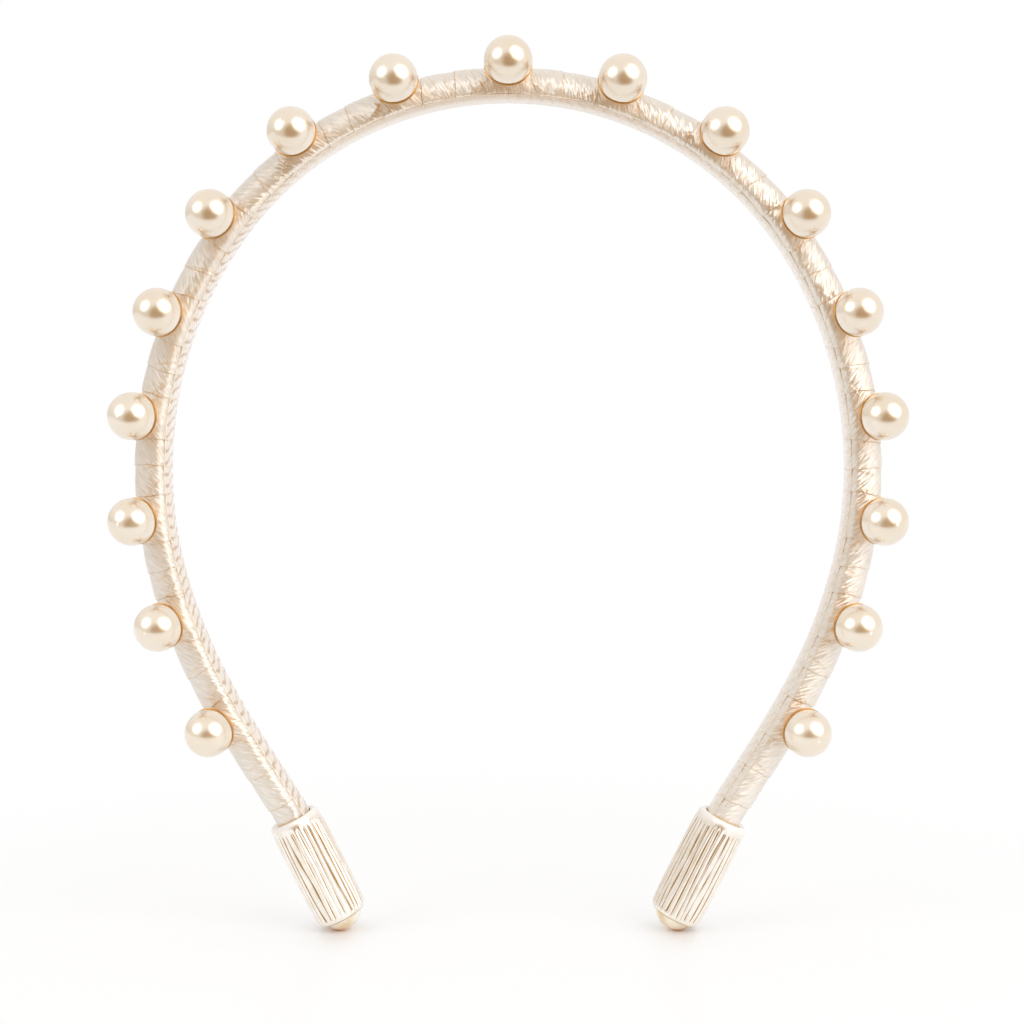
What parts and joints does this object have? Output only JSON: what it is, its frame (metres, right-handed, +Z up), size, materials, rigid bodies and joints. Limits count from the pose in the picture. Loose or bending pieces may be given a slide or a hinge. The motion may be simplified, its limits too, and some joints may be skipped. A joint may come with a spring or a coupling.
{
  "type": "headband",
  "caption": "Padded satin-wrapped headband on a spring strip, set with pearls in small cups, with ribbed end sleeves and domed tips.",
  "frame": {"origin": "on the surface the band stands on, midway between its two tips and midway between the pearls' front and the sleeves' back", "axes": "+X across the head, -Y towards the pearl side, +Z up through the crown"},
  "size_m": [0.1334, 0.0163, 0.1509],
  "materials": {
    "satin": "satin ribbon with a soft sheen",
    "lining": "satin ribbon, flat",
    "padding": "open foam",
    "core": "plain spring strip",
    "pearl": "pearl lustre",
    "cup": "polished gold tone",
    "sleeve": "satin, ribbed",
    "tip": "glossy pearl"
  },
  "bodies": {
    "crown": {"core_crown": "core", "padding_crown": "padding", "wrap_crown": "satin", "lining_crown": "lining", "pearl_crown": "pearl", "cup_crown": "cup", "pearl_left_1": "pearl", "cup_left_1": "cup", "pearl_left_2": "pearl", "cup_left_2": "cup", "pearl_left_3": "pearl", "cup_left_3": "cup", "pearl_right_1": "pearl", "cup_right_1": "cup", "pearl_right_2": "pearl", "cup_right_2": "cup", "pearl_right_3": "pearl", "cup_right_3": "cup"},
    "arm_left": {"core_left": "core", "padding_left": "padding", "wrap_left": "satin", "lining_left": "lining", "pearl_left_4": "pearl", "cup_left_4": "cup", "pearl_left_5": "pearl", "cup_left_5": "cup", "pearl_left_6": "pearl", "cup_left_6": "cup", "pearl_left_7": "pearl", "cup_left_7": "cup", "pearl_left_8": "pearl", "cup_left_8": "cup", "sleeve_left": "sleeve", "tip_left": "tip"},
    "arm_right": {"core_right": "core", "padding_right": "padding", "wrap_right": "satin", "lining_right": "lining", "pearl_right_4": "pearl", "cup_right_4": "cup", "pearl_right_5": "pearl", "cup_right_5": "cup", "pearl_right_6": "pearl", "cup_right_6": "cup", "pearl_right_7": "pearl", "cup_right_7": "cup", "pearl_right_8": "pearl", "cup_right_8": "cup", "sleeve_right": "sleeve", "tip_right": "tip"}
  },
  "joints": [
    {"name": "spread_left", "type": "hinge", "parent": "crown", "child": "arm_left", "pos_m": [-0.05397, 0.00315, 0.11411], "axis": [0, 1, 0], "range_deg": [0, 18], "stiffness_Nm_per_rad": 0.37},
    {"name": "spread_right", "type": "hinge", "parent": "crown", "child": "arm_right", "pos_m": [0.05397, 0.00315, 0.11411], "axis": [0, -1, 0], "range_deg": [0, 18], "stiffness_Nm_per_rad": 0.37}
  ]
}
